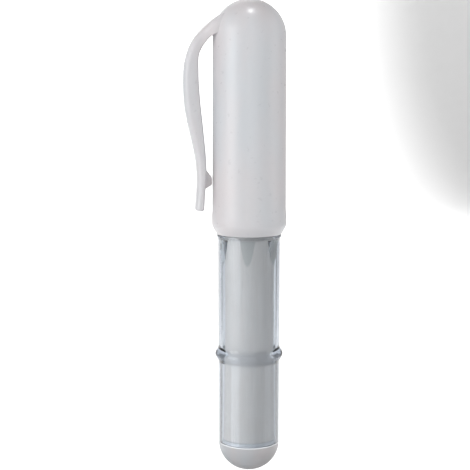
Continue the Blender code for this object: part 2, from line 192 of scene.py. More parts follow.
def makeMouldedWhite(name, look):
    # Injection moulded polypropylene with a polished tool: an even pale grey white with a soft gloss,
    # a very faint orange peel, cool and warm clouding where the melt cooled, and rubbed, duller patches.
    material, shader = startMaterial(name)
    place = addNode(material, "ShaderNodeTexCoord")
    turn = addNode(material, "ShaderNodeMapping",
                   [("Vector", place.outputs["Object"]), ("Scale", (1, 1, 0.4))])
    cloud = addNode(material, "ShaderNodeTexNoise",
                    [("Vector", turn.outputs["Vector"]), ("Scale", perMm(look["cloudSize"])), ("Detail", 3)])
    tint = addNode(material, "ShaderNodeValToRGB", [("Fac", cloud.outputs["Fac"])],
                   [(0.38, toLinear(look["coolColour"])), (0.62, toLinear(look["warmColour"]))])
    speck = addNode(material, "ShaderNodeTexNoise",
                    [("Vector", place.outputs["Object"]), ("Scale", perMm(look["speckSize"])), ("Detail", 4)])
    speckTone = addNode(material, "ShaderNodeValToRGB", [("Fac", speck.outputs["Fac"])],
                        [(0.3, grey(0.993)), (0.65, grey(1))])
    colour = addNode(material, "ShaderNodeMix",
                     [(0, 1.0), (6, tint.outputs["Color"]), (7, speckTone.outputs["Color"])],
                     data_type="RGBA", blend_type="MULTIPLY")
    # painted light: the plug is coloured lighter inside the barrel, where the clear wall puts it in shade
    if "collarPaintedLight" in look:  # lighter inside the barrel, where the clear wall dims it
        rise = addNode(material, "ShaderNodeSeparateXYZ", [("Vector", place.outputs["Object"])])
        inside = addNode(material, "ShaderNodeMapRange",
                         [("Value", rise.outputs["Z"]), ("From Min", look["collarFrom"] * mm),
                          ("From Max", (look["collarFrom"] + 0.1) * mm)])
        colour = addNode(material, "ShaderNodeMix",
                         [(0, inside.outputs["Result"]), (6, colour.outputs[2]),
                          (7, toLinear(look["collarPaintedLight"]))], data_type="RGBA")
    gloss = addNode(material, "ShaderNodeMapRange",
                    [("Value", speck.outputs["Fac"]), ("From Min", 0.3), ("From Max", 0.7),
                     ("To Min", look["roughness"] - 0.03), ("To Max", look["roughness"] + 0.05)])
    peel = addNode(material, "ShaderNodeTexNoise",
                   [("Vector", place.outputs["Object"]), ("Scale", perMm(look["peelSize"])), ("Detail", 1)])
    bump = addNode(material, "ShaderNodeBump",
                   [("Height", peel.outputs["Fac"]), ("Strength", look["peelStrength"]),
                    ("Distance", 0.004 * mm)])
    links = material.node_tree.links
    links.new(colour.outputs[2], shader.inputs["Base Color"])
    links.new(gloss.outputs["Result"], shader.inputs["Roughness"])
    links.new(bump.outputs["Normal"], shader.inputs["Normal"])
    shader.inputs["IOR"].default_value = 1.5
    return material


capWhite = makeMouldedWhite("polishedPolypropyleneCap", {
    "coolColour": "#c6c9cd", "warmColour": "#cdc9cb", "cloudSize": 14, "speckSize": 1.1,
    "roughness": 0.3, "peelSize": 0.9, "peelStrength": 0.1})
# painted shade: the plug is the same white plastic as the cap, coloured darker for the shade it sits in
plugShadedWhite = makeMouldedWhite("polishedPolypropylenePlugPaintedShade", {
    "coolColour": "#b4b7bb", "warmColour": "#b9b6b8", "cloudSize": 6, "speckSize": 0.9,
    # painted light: the collar colour brightens the plug inside the barrel
    "roughness": 0.32, "peelSize": 0.6, "peelStrength": 0.25, "collarPaintedLight": "#eef0f2", "collarFrom": 7.35})
nozzleWhite = makeMouldedWhite("satinPolypropyleneNozzle", {
    "coolColour": "#e2e4e4", "warmColour": "#e8e4dc", "cloudSize": 5, "speckSize": 0.6,
    "roughness": 0.42, "peelSize": 0.35, "peelStrength": 0.5})

clearLook = {
    "tint": "#fafbfc",
    "absorb": "#aab4c1",  # what is left of white after a long path in the wall
    "absorbPerMetre": 365,
    "lampTint": "#fdfdfd",
    "scratchSize": 0.25,
    # painted shade: the flat tint darkens the flats inside the bore, standing in for the light they bend away
    "flatPaintedShade": "#dce3e4", "flatRadius": 6.735,  # the satin flats lie inside this radius, in mm
    "polished": 0.02, "hazed": 0.06,  # roughness
}


def makeClearStyrene(name, look):
    # Injection moulded clear styrene: bright and faintly blue grey through its edges, with long fine
    # handling scratches and a little haze between them.
    material, shader = startMaterial(name)
    place = addNode(material, "ShaderNodeTexCoord")
    along = addNode(material, "ShaderNodeMapping",
                    [("Vector", place.outputs["Object"]), ("Scale", (1, 1, 0.04))])
    scratch = addNode(material, "ShaderNodeTexNoise",
                      [("Vector", along.outputs["Vector"]), ("Scale", perMm(look["scratchSize"])),
                       ("Detail", 2)])
    haze = addNode(material, "ShaderNodeTexNoise",
                   [("Vector", place.outputs["Object"]), ("Scale", perMm(4)), ("Detail", 3)])
    rough = addNode(material, "ShaderNodeMapRange",
                    [("Value", haze.outputs["Fac"]), ("From Min", 0.35), ("From Max", 0.7),
                     ("To Min", look["polished"]), ("To Max", look["hazed"])])
    colour = addNode(material, "ShaderNodeValToRGB", [("Fac", scratch.outputs["Fac"])],
                     [(0.25, toLinear("#f3f6f7")), (0.5, toLinear(look["tint"]))])
    level = addNode(material, "ShaderNodeVectorMath", [(0, place.outputs["Object"]), (1, (1, 1, 0))],
                    operation="MULTIPLY")
    reach = addNode(material, "ShaderNodeVectorMath", [(0, level.outputs["Vector"])], operation="LENGTH")
    # painted shade: the flats inside flatRadius get a darker tint in place of the shade the refraction casts
    flat = addNode(material, "ShaderNodeMapRange",
                   [("Value", reach.outputs["Value"]), ("From Min", (look["flatRadius"] - 0.03) * mm),
                    ("From Max", look["flatRadius"] * mm), ("To Min", 1.0), ("To Max", 0.0)])
    colourWithFlatShade = addNode(material, "ShaderNodeMix",
                     [(0, flat.outputs["Result"]), (6, colour.outputs["Color"]),
                      (7, toLinear(look["flatPaintedShade"]))],
                     data_type="RGBA")
    bump = addNode(material, "ShaderNodeBump", [("Height", scratch.outputs["Fac"]), ("Strength", 0.12),
                                                ("Distance", 0.01 * mm)])
    absorb = addNode(material, "ShaderNodeVolumeAbsorption",
                     [("Color", toLinear(look["absorb"])), ("Density", look["absorbPerMetre"])])
    links = material.node_tree.links
    links.new(colourWithFlatShade.outputs[2], shader.inputs["Base Color"])
    links.new(rough.outputs["Result"], shader.inputs["Roughness"])
    links.new(bump.outputs["Normal"], shader.inputs["Normal"])
    shader.inputs["Transmission Weight"].default_value = 1
    shader.inputs["IOR"].default_value = 1.55
    rays = addNode(material, "ShaderNodeLightPath")
    lampSide = addNode(material, "ShaderNodeBsdfTransparent", [("Color", toLinear(look["lampTint"]))])
    both = addNode(material, "ShaderNodeMixShader",  # lets the lamps reach the tube inside
                   [(0, rays.outputs["Is Shadow Ray"]), (1, shader.outputs["BSDF"]),
                    (2, lampSide.outputs["BSDF"])])
    output = material.node_tree.nodes["Material Output"]
    links.new(both.outputs["Shader"], output.inputs["Surface"])
    links.new(absorb.outputs["Volume"], output.inputs["Volume"])
    return material


frostedLook = {
    "light": "#fbf8f3",
    "dark": "#f5f0ea",
    "roughness": 0.34,
    "drawLineSize": 0.35,
}


def makeFrostedTube(look):
    # Extruded natural polypropylene: milky and satin, with fine lines drawn along the tube by the die.
    material, shader = startMaterial("frostedPolypropyleneTube")
    place = addNode(material, "ShaderNodeTexCoord")
    along = addNode(material, "ShaderNodeMapping",
                    [("Vector", place.outputs["Object"]), ("Scale", (1, 1, 0.02))])
    lines = addNode(material, "ShaderNodeTexNoise",
                    [("Vector", along.outputs["Vector"]), ("Scale", perMm(look["drawLineSize"])),
                     ("Detail", 3)])
    milk = addNode(material, "ShaderNodeTexNoise",
                   [("Vector", place.outputs["Object"]), ("Scale", perMm(5)), ("Detail", 4)])
    both = addNode(material, "ShaderNodeMix",
                   [(0, 0.45), (2, lines.outputs["Fac"]), (3, milk.outputs["Fac"])],
                   data_type="FLOAT")
    colour = addNode(material, "ShaderNodeValToRGB", [("Fac", both.outputs[0])],
                     [(0.35, toLinear(look["dark"])), (0.65, toLinear(look["light"]))])
    rough = addNode(material, "ShaderNodeMapRange",
                    [("Value", lines.outputs["Fac"]), ("From Min", 0.3), ("From Max", 0.7),
                     ("To Min", look["roughness"] - 0.04), ("To Max", look["roughness"] + 0.06)])
    bump = addNode(material, "ShaderNodeBump", [("Height", lines.outputs["Fac"]), ("Strength", 0.3),
                                                ("Distance", 0.015 * mm)])
    links = material.node_tree.links
    links.new(colour.outputs["Color"], shader.inputs["Base Color"])
    links.new(rough.outputs["Result"], shader.inputs["Roughness"])
    links.new(bump.outputs["Normal"], shader.inputs["Normal"])
    shader.inputs["Transmission Weight"].default_value = 0.05
    shader.inputs["IOR"].default_value = 1.5
    return material


def makeChalk():
    # Loose ground chalk: dead matt, off-white, with clumps of half a millimetre and finer grains.
    material, shader = startMaterial("looseChalkPowder")
    place = addNode(material, "ShaderNodeTexCoord")
    clump = addNode(material, "ShaderNodeTexVoronoi",
                    [("Vector", place.outputs["Object"]), ("Scale", perMm(0.6))])
    grain = addNode(material, "ShaderNodeTexNoise",
                    [("Vector", place.outputs["Object"]), ("Scale", perMm(0.25)), ("Detail", 5)])
    colour = addNode(material, "ShaderNodeValToRGB", [("Fac", grain.outputs["Fac"])],
                     [(0.35, toLinear("#dcdbd5")), (0.6, toLinear("#f1f0ec"))])
    height = addNode(material, "ShaderNodeMath",
                     [(0, clump.outputs["Distance"]), (1, grain.outputs["Fac"])], operation="ADD")
    bump = addNode(material, "ShaderNodeBump", [("Height", height.outputs["Value"]), ("Strength", 0.7),
                                                ("Distance", 0.1 * mm)])
    rough = addNode(material, "ShaderNodeMapRange", [("Value", grain.outputs["Fac"]),
                                                     ("To Min", 0.88), ("To Max", 1.0)])
    links = material.node_tree.links
    links.new(colour.outputs["Color"], shader.inputs["Base Color"])
    links.new(rough.outputs["Result"], shader.inputs["Roughness"])
    links.new(bump.outputs["Normal"], shader.inputs["Normal"])
    return material


def makeTurnedMetal(name, light, dark, roughness, ringAxis):
    # Free-cutting brass or stainless wire off the lathe: fine tool rings and small dull handling marks.
    material, shader = startMaterial(name)
    place = addNode(material, "ShaderNodeTexCoord")
    turn = addNode(material, "ShaderNodeMapping", [("Vector", place.outputs["Object"]), ("Scale", ringAxis)])
    rings = addNode(material, "ShaderNodeTexNoise",
                    [("Vector", turn.outputs["Vector"]), ("Scale", perMm(0.12)), ("Detail", 2)])
    marks = addNode(material, "ShaderNodeTexNoise",
                    [("Vector", place.outputs["Object"]), ("Scale", perMm(0.8)), ("Detail", 4)])
    colour = addNode(material, "ShaderNodeValToRGB", [("Fac", marks.outputs["Fac"])],
                     [(0.35, toLinear(dark)), (0.6, toLinear(light))])
    rough = addNode(material, "ShaderNodeMapRange",
                    [("Value", marks.outputs["Fac"]), ("From Min", 0.3), ("From Max", 0.7),
                     ("To Min", roughness), ("To Max", roughness + 0.15)])
    bump = addNode(material, "ShaderNodeBump", [("Height", rings.outputs["Fac"]), ("Strength", 0.4),
                                                ("Distance", 0.01 * mm)])
    links = material.node_tree.links
    links.new(colour.outputs["Color"], shader.inputs["Base Color"])
    links.new(rough.outputs["Result"], shader.inputs["Roughness"])
    links.new(bump.outputs["Normal"], shader.inputs["Normal"])
    shader.inputs["Metallic"].default_value = 1
    return material


barrelClear = makeClearStyrene("clearStyreneBarrel", clearLook)
tubeFrosted = makeFrostedTube(frostedLook)
chalkMatt = makeChalk()
wheelBrass = makeTurnedMetal("turnedBrassWheel", "#d9b673", "#b38d4b", 0.24, (1, 0.1, 1))
axleSteel = makeTurnedMetal("stainlessAxleWire", "#c3c5c8", "#9a9da1", 0.22, (0.1, 1, 0.1))
print("materials ready")


capSize = {
    "lowerWall": 9.29, "crownWall": 9.14,  # outer radii above the lip and at the dome
    "mouth": 8.2, "bore": 7.9, "innerCrown": 7.64,
    "mouthHeight": 2.2, "lipTop": 4.8, "lipSlope": 1.2,  # above the rim
    "grooveRise": 4.7, "grooveDepth": 0.12, "grooveHeight": 1.8,  # the neck's snap bead rests in it
    "boreDepth": 16.0, "sides": 128,
}


def makeCap(size):
    low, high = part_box("cap_shell")
    rim, top, lip = low.z / mm, high.z / mm, high.x / mm
    centre = top - size["crownWall"]
    profile = arcPoints((0, centre), (size["crownWall"], size["crownWall"]), 90, 0, 32)
    profile[0] = (0, top)
    profile.append((size["lowerWall"], rim + size["lipTop"] + size["lipSlope"], 0.6))
    profile.append((lip, rim + size["lipTop"], 0.5))
    profile.append((lip, rim + size["mouthHeight"], 0.6))
    profile.append((size["mouth"], rim, 0.1))
    profile.append((size["bore"], rim, 0.08))
    groove = ringBump(size["bore"], size["grooveDepth"], rim + size["grooveRise"], size["grooveHeight"], 6)
    profile += reversed(groove)
    profile.append((size["bore"], rim + size["boreDepth"], 0.1))
    profile.append((size["innerCrown"], rim + size["boreDepth"] + 0.26, 0.1))
    profile += arcPoints((0, centre), (size["innerCrown"], size["innerCrown"]), 0, 90, 20)
    profile[-1] = (0, centre + size["innerCrown"])
    cap = turnPiece("pen_cap", profile, size["sides"])
    finishPiece(cap, capWhite, ["cap_shell"], "cap")
    return cap


makeCap(capSize)


clipSize = {
    "width": 5.0,
    "side": 9.14,  # the cap's radius, which the knots are measured from
    # (out from the cap's side, down from the root), in mm, for the back and for the inner face
    "back": [(-3.4, -0.9), (-1.7, 0.1), (2.09, 3.04), (5.15, 6.54), (7.01, 11.55), (7.42, 15.2),
             (7.24, 21.28), (4.13, 39.7), (4.13, 41.6), (4.6, 48.55)],
    "inner": [(-1.9, 4.5), (-0.8, 4.85), (0, 5.1), (0.7, 5.5), (1.8, 6.69), (3.5, 9.5), (3.78, 14.44),
              (3.4, 21.28), (2.65, 28.5), (1.92, 39.3), (2.22, 43.9), (2.54, 48.55)],
    "sections": 56,
    "outerRound": 1.5, "innerRound": 0.45, "endRound": 0.35,
    "rootDrop": 3.78,  # from the cap's crown
    "padWidth": 2.4, "padAboveTail": 7.3, "padFlat": 1.9, "padRise": 3.5, "padFall": 1.5, "padGap": 0.22,
    "rootFlare": 1.09,  # each step towards the cap is this much wider
}


def smoothLine(knots, count):  # evenly spaced points on a smooth line through the knots
    fine = []
    for i in range(len(knots) - 1):
        a, b = Vector(knots[i]), Vector(knots[i + 1])
        before = Vector(knots[i - 1]) if i else a - (b - a)
        after = Vector(knots[i + 2]) if i + 2 < len(knots) else b + (b - a)
        span = (b - a).length
        leave = ((b - a) / span * (a - before).length + (a - before) / (a - before).length * span)
        leave = leave / ((a - before).length + span) * span
        reach = ((after - b) / (after - b).length * span + (b - a) / span * (after - b).length)
        reach = reach / ((after - b).length + span) * span
        for j in range(24):
            t = j / 24
            point = (2 * t**3 - 3 * t**2 + 1) * a + (t**3 - 2 * t**2 + t) * leave
            fine.append(point + (3 * t**2 - 2 * t**3) * b + (t**3 - t**2) * reach)
    fine.append(Vector(knots[-1]))
    lengths = [0]
    for a, b in zip(fine, fine[1:]):
        lengths.append(lengths[-1] + (b - a).length)
    points, at = [], 0
    for i in range(count + 1):
        want = lengths[-1] * i / count
        while at < len(lengths) - 2 and lengths[at + 1] < want:
            at += 1
        share = (want - lengths[at]) / (lengths[at + 1] - lengths[at])
        points.append(fine[at].lerp(fine[at + 1], share))
    return points


def makeClip(size):
    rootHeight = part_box("cap_shell")[1].z / mm - size["rootDrop"]
    half = size["width"] / 2
    lines = []
    for knots in (size["back"], size["inner"]):
        placed = [(-(size["side"] + out), rootHeight - drop) for out, drop in knots]
        lines.append(smoothLine(placed, size["sections"]))
    backLine, innerLine = lines

    startPiece()
    middle = (backLine[0] + innerLine[0]) / 2
    bpy.ops.mesh.primitive_plane_add(size=size["width"] * mm, location=(middle.x * mm, 0, middle.y * mm))
    clip = bpy.context.active_object
    clip.name = clip.data.name = "pocket_clip"
    settlePlace()
    bpy.ops.object.mode_set(mode="EDIT")
    # The plane's two sides go to the root's edges
    for isBack, line in ((True, backLine), (False, innerLine)):
        if isBack:
            pick("VERT", lambda v: v.co.x < middle.x * mm)
        else:
            pick("VERT", lambda v: math.hypot(v.co.x - backLine[0].x * mm,
                                              v.co.z - backLine[0].y * mm) > 1e-6)
        edge = -half if isBack else half
        shift = (line[0].x * mm - (middle.x + edge) * mm, 0, (line[0].y - middle.y) * mm)
        bpy.ops.transform.translate(value=shift)
    bpy.ops.mesh.select_all(action="SELECT")
    for i in range(1, size["sections"] + 1):
        bpy.ops.mesh.extrude_region_move(TRANSFORM_OT_translate={"value": (0, 0, 0)})
        shape = bmesh.from_edit_mesh(clip.data)
        end = [v.index for v in shape.verts if v.select]
        for line in (backLine, innerLine):
            before, after = line[i - 1], line[i]
            shape = bmesh.from_edit_mesh(clip.data)
            shape.verts.ensure_lookup_table()
            for v in shape.verts:
                near = math.hypot(v.co.x - before.x * mm, v.co.z - before.y * mm) < 1e-7
                v.select_set(v.index in end and near)
            shape.select_flush(True)
            bpy.ops.transform.translate(value=((after.x - before.x) * mm, 0, (after.y - before.y) * mm))
        shape = bmesh.from_edit_mesh(clip.data)
        shape.verts.ensure_lookup_table()
        for index in end:
            shape.verts[index].select_set(True)
        shape.select_flush(True)
    for out in (2.2, 1.6, 1.1, 0.7, 0.3):  # the root spreads as it meets the cap
        pick("VERT", lambda v: v.co.x > -(size["side"] + out) * mm and v.co.z > (rootHeight - 8) * mm)
        bpy.ops.transform.resize(value=(1, size["rootFlare"], 1), center_override=(0, 0, 0))
    bpy.ops.mesh.select_all(action="SELECT")
    bpy.ops.mesh.normals_make_consistent(inside=False)

    def longEdge(line):
        def test(edge):
            ends = [v.co for v in edge.verts]
            if ends[0].y * ends[1].y < 0 or (ends[0] - ends[1]).length > 2.5 * mm:
                return False
            return all(min(math.hypot(e.x - p.x * mm, e.z - p.y * mm) for p in line) < 1e-6 for e in ends)
        return test

    pick("EDGE", longEdge(backLine))
    bpy.ops.mesh.bevel(offset=size["outerRound"] * mm, segments=8, affect="EDGES", clamp_overlap=True)
    pick("EDGE", longEdge(innerLine))
    bpy.ops.mesh.bevel(offset=size["innerRound"] * mm, segments=4, affect="EDGES", clamp_overlap=True)
    tail = min(v.y for v in backLine) * mm
    pick("EDGE", lambda e: all(v.co.z < tail + 0.02 * mm for v in e.verts) and len(e.link_faces) == 2
         and any(abs(f.normal.z) > 0.9 for f in e.link_faces)
         and any(abs(f.normal.z) < 0.5 for f in e.link_faces))
    bpy.ops.mesh.bevel(offset=size["endRound"] * mm, segments=3, affect="EDGES", clamp_overlap=True)
    bpy.ops.object.mode_set(mode="OBJECT")

    padHeight = backLine[-1].y + size["padAboveTail"]
    tip = capSize["lowerWall"] + size["padGap"]
    base = size["side"] + 3.0
    padTop = padHeight + size["padFlat"] / 2 + size["padRise"]
    padFoot = padHeight - size["padFlat"] / 2 - size["padFall"]
    startPiece()
    bpy.ops.mesh.primitive_cube_add(size=1, location=(-(tip + base) / 2 * mm, 0, (padTop + padFoot) / 2 * mm),
                                    scale=((base - tip) * mm, size["padWidth"] * mm, (padTop - padFoot) * mm))
    pad = bpy.context.active_object
    settlePlace()
    bpy.ops.object.mode_set(mode="EDIT")
    pick("FACE", lambda f: f.normal.x > 0.9)  # the tip, towards the cap
    bpy.ops.transform.resize(value=(1, 0.8, 1), center_override=(-tip * mm, 0, padHeight * mm))
    pick("VERT", lambda v: v.co.x > -(tip + 0.01) * mm and v.co.z > padHeight * mm)
    bpy.ops.transform.translate(value=(0, 0, -size["padRise"] * mm))
    pick("VERT", lambda v: v.co.x > -(tip + 0.01) * mm and v.co.z < (padFoot + 0.01) * mm)
    bpy.ops.transform.translate(value=(0, 0, size["padFall"] * mm))
    pick("EDGE", lambda e: any(v.co.x > -(tip + 0.01) * mm for v in e.verts))
    bpy.ops.mesh.bevel(offset=0.42 * mm, segments=5, affect="EDGES", clamp_overlap=True)
    bpy.ops.object.mode_set(mode="OBJECT")
    cutAway(clip, pad, "UNION")
    finishPiece(clip, capWhite, ["cap_clip"])
    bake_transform(clip)
    return clip


makeClip(clipSize)


barrelSize = {
    "wall": 7.85, "bore": 6.75, "neck": 7.5, "neckLength": 13.28,
    "shoulder": 8.2, "land": 0.5, "flare": 1.9,
    "snapProud": 0.2, "snapRise": 5.0, "snapHeight": 1.6,
    "beadHeight": 4.3, "beadMiddle": 30.55,
    "ribs": 6, "ribTop": 0.9, "ribLength": 8.2, "ribWidth": 3.7, "ribTaper": 0.25, "ribDepth": 0.3,
    "firstRib": 102,  # turned the other way, as the operator does
    "sides": 144,
}


def makeBarrel(size):
    low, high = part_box("barrel")
    foot, top, bead = low.z / mm, high.z / mm, high.x / mm
    shoulder = top - size["neckLength"]
    profile = [(size["bore"], top, 0.15), (size["neck"], top, 0.3)]
    profile += ringBump(size["neck"], size["snapProud"], shoulder + size["snapRise"], size["snapHeight"], 8)
    profile.append((size["neck"], shoulder, 0.15))
    profile.append((size["shoulder"], shoulder, 0.12))
    flareTop = shoulder - size["land"]
    spread = size["shoulder"] - size["wall"]
    profile += arcPoints((size["shoulder"], flareTop - size["flare"]), (-spread, size["flare"]), 90, 0, 10)
    profile += ringBump(size["wall"], bead - size["wall"], size["beadMiddle"], size["beadHeight"], 24)
    profile.append((size["wall"], foot, 0.06))
    profile.append((size["bore"], foot, 0.06))
    barrel = turnPiece("clear_barrel", profile, size["sides"], closed=True)

    # Tapered flats inside the shoulder, which steady the tube: one wedge is shaped and copied round
    ribTop = shoulder - size["ribTop"]
    ribFoot = ribTop - size["ribLength"]
    outer = (size["bore"] + size["wall"]) / 2
    inner = size["bore"] - size["ribDepth"]
    startPiece()
    wedgePlace = ((inner + outer) / 2 * mm, 0, (ribTop + ribFoot) / 2 * mm)
    wedgeSpan = ((outer - inner) * mm, size["ribWidth"] * mm, size["ribLength"] * mm)
    bpy.ops.mesh.primitive_cube_add(size=1, location=wedgePlace, scale=wedgeSpan)
    wedge = bpy.context.active_object
    settlePlace()
    bpy.ops.object.mode_set(mode="EDIT")
    pick("VERT", lambda v: v.co.x < (inner + 0.01) * mm and v.co.z < (ribFoot + 0.01) * mm)
    bpy.ops.transform.translate(value=((size["ribDepth"] + 0.05) * mm, 0, 0))
    pick("FACE", lambda f: f.normal.z < -0.9)
    bpy.ops.transform.resize(value=(1, size["ribTaper"], 1), center_override=(outer * mm, 0, ribFoot * mm))
    bpy.ops.mesh.select_all(action="SELECT")
    centre = (0, 0, 0)
    bpy.ops.transform.rotate(value=math.radians(size["firstRib"]), orient_axis="Z", center_override=centre)
    for i in range(size["ribs"] - 1):
        bpy.ops.mesh.duplicate()
        bpy.ops.transform.rotate(value=math.tau / size["ribs"], orient_axis="Z", center_override=centre)
    bpy.ops.object.mode_set(mode="OBJECT")
    cutAway(barrel, wedge, "UNION")
    finishPiece(barrel, barrelClear, ["barrel"], "pen_body")
    return barrel


makeBarrel(barrelSize)


cartridgeSize = {
    "tube": 6.27, "tubeBore": 5.47, "spigot": 5.17, "nipple": 2.6, "nippleBore": 1.2,
    "lidThickness": 1.2, "nippleLength": 5.0,
    "plug": 7.8, "plugDome": 7.3, "plugFlat": 1.2, "plugHollow": 3.87, "plugStep": 8.5, "stepRadius": 6.6,
    "rimRound": 0.1, "seam": 0.02,  # what is left visible between pieces that touch
    "sides": 96,
}


def makeTube(size):
    low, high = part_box("cartridge_tube")
    foot, top = size["plugStep"] + size["seam"], high.z / mm
    corners = [(size["tube"], top, 0.15), (size["tube"], foot, 0.15), (size["tubeBore"], foot, 0.15),
               (size["tubeBore"], top, 0.15)]
    tube = turnPiece("powder_tube", corners, size["sides"], closed=True)
    finishPiece(tube, tubeFrosted, ["cartridge_tube"], "cartridge")


def makePowder(size):
    low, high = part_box("chalk_powder")
    foot, top = low.z / mm, high.z / mm
    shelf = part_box("end_plug")[1].z / mm + 0.3
    hollow = size["plugHollow"] - 0.3
    wall = high.x / mm
    profile = [(0, top - 0.02)]
    for i in range(1, 13):  # the powder lies a little higher at the wall
        share = i / 13
        profile.append((wall * share, top - 0.25 + 0.23 * share**2))
    profile[0] = (0, top - 0.25)
    profile.append((wall, top, 0.2))
    profile.append((wall, shelf, 0.2))
    profile.append((hollow, shelf, 0.2))
    profile += arcPoints((0, foot + hollow), (hollow, hollow), 0, -90, 10)
    profile[-1] = (0, foot)
    powder = turnPiece("chalk_fill", profile, 72)
    finishPiece(powder, chalkMatt, ["chalk_powder"], "cartridge")


def makeLid(size):
    low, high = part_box("cartridge_lid")
    nippleTop = high.z / mm
    lidTop = nippleTop - size["nippleLength"]
    lidFoot = lidTop - size["lidThickness"]
    profile = [(size["nippleBore"], nippleTop, 0.1), (size["nipple"], nippleTop, 0.3),
               (size["nipple"], lidTop, 0.3), (size["tube"], lidTop, 0.2), (size["tube"], lidFoot, 0.15),
               (size["spigot"], lidFoot, 0.1), (size["spigot"], low.z / mm, 0.2),
               (size["nippleBore"], low.z / mm, 0.1)]
    lid = turnPiece("tube_lid", profile, size["sides"], closed=True)
    finishPiece(lid, nozzleWhite, ["cartridge_lid"], "cartridge")


def makePlug(size):
    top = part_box("end_plug")[1].z / mm
    radius, dome = size["plug"], size["plugDome"]
    widest = math.degrees(math.acos(size["plugFlat"] / radius))
    depth = dome / math.sin(math.radians(widest))
    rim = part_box("barrel")[0].z / mm - size["seam"]
    profile = arcPoints((0, dome), (size["plugHollow"], size["plugHollow"]), -90, 0, 10)
    profile[0] = (0, dome - size["plugHollow"])
    profile += [(size["plugHollow"], top, 0.15), (size["spigot"], top, 0.25),
                (size["spigot"], size["plugStep"], 0.1), (size["stepRadius"], size["plugStep"], 0.3),
                (size["stepRadius"], rim, 0.05)]
    profile.append((radius, rim, size["rimRound"]))
    profile += arcPoints((0, dome), (radius, depth), 0, -widest, 30)
    profile.append((0, 0))
    plug = turnPiece("tail_plug", profile, 128)
    finishPiece(plug, plugShadedWhite, ["end_plug"], "cartridge")


makeTube(cartridgeSize)
makePowder(cartridgeSize)
makeLid(cartridgeSize)
makePlug(cartridgeSize)


nozzleSize = {
    "skirt": 6.45, "flange": 7.3, "flangeHeight": 1.5, "coneFoot": 6.4, "coneTop": 3.6,
    "skirtLength": 8.0, "socket": 2.9, "socketTop": 0.3, "bore": 1.5, "counterbore": 2.7,
    "counterboreDepth": 4.8, "sides": 96,
}
forkSize = {
    "radius": 3.6, "round": 1.5, "spigot": 2.4, "spigotLength": 4.8, "pocket": 2.9, "pocketWidth": 1.5,
    "feed": 1.2, "axleHole": 0.65, "sides": 96,
}
wheelSize = {"teeth": 24, "toothDepth": 0.4, "thickness": 0.9, "bore": 0.58, "hubProud": 0.12}


def makeNozzle(size):
    low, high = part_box("nozzle")
    foot, top = low.z / mm, high.z / mm
    seat = foot + size["skirtLength"]
    cone = seat + size["flangeHeight"]
    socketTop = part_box("cartridge_lid")[1].z / mm + size["socketTop"]
    profile = [(size["coneTop"], top, 0.15), (size["coneFoot"], cone, 0.6), (size["flange"], cone, 0.25),
               (size["flange"], seat, 0.15), (size["skirt"], seat, 0.1), (size["skirt"], foot, 0.3),
               (size["socket"], foot, 0.3), (size["socket"], socketTop, 0.1), (size["bore"], socketTop, 0.1),
               (size["bore"], top - size["counterboreDepth"], 0.1),
               (size["counterbore"], top - size["counterboreDepth"], 0.1), (size["counterbore"], top, 0.1)]
    nozzle = turnPiece("nozzle_cone", profile, size["sides"], closed=True)
    finishPiece(nozzle, nozzleWhite, ["nozzle"], "pen_body")


def makeFork(size):
    low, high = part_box("wheel_housing")
    foot, top = low.z / mm, high.z / mm
    wheelLow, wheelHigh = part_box("marking_wheel")
    axleHeight = (wheelLow.z + wheelHigh.z) / 2
    step = foot + size["spigotLength"]
    inner = size["radius"] - size["round"]
    profile = [(0, top)]
    profile += arcPoints((inner, top - size["round"]), (size["round"], size["round"]), 90, 0, 10)
    profile += [(size["radius"], step, 0.15), (size["spigot"], step, 0.1), (size["spigot"], foot, 0.25)]
    profile.append((0, foot))
    fork = turnPiece("wheel_fork", profile, size["sides"])

    turned = (math.pi / 2, 0, 0)
    startPiece()
    bpy.ops.mesh.primitive_cylinder_add(vertices=72, radius=size["pocket"] * mm,
                                        depth=size["pocketWidth"] * mm,
                                        location=(0, 0, axleHeight), rotation=turned)
    pocket = bpy.context.active_object
    settlePlace()
    bpy.ops.object.mode_set(mode="EDIT")
    bpy.ops.mesh.select_mode(type="FACE")
    pick("FACE", lambda f: f.normal.z > 0.02 and abs(f.normal.y) < 0.5)  # the upper half opens upwards
    bpy.ops.mesh.extrude_region_move(TRANSFORM_OT_translate={"value": (0, 0, 3 * mm)})
    bpy.ops.object.mode_set(mode="OBJECT")
    cutAway(fork, pocket)

    startPiece()
    bpy.ops.mesh.primitive_cylinder_add(vertices=36, radius=size["feed"] * mm, depth=12 * mm,
                                        location=(0, 0, axleHeight - 6 * mm))
    feed = bpy.context.active_object
    settlePlace()
    cutAway(fork, feed)

    startPiece()
    bpy.ops.mesh.primitive_cylinder_add(vertices=36, radius=size["axleHole"] * mm, depth=12 * mm,
                                        location=(0, 0, axleHeight), rotation=turned)
    hole = bpy.context.active_object
    settlePlace()
    cutAway(fork, hole)
    finishPiece(fork, nozzleWhite, ["wheel_housing"], "pen_body")


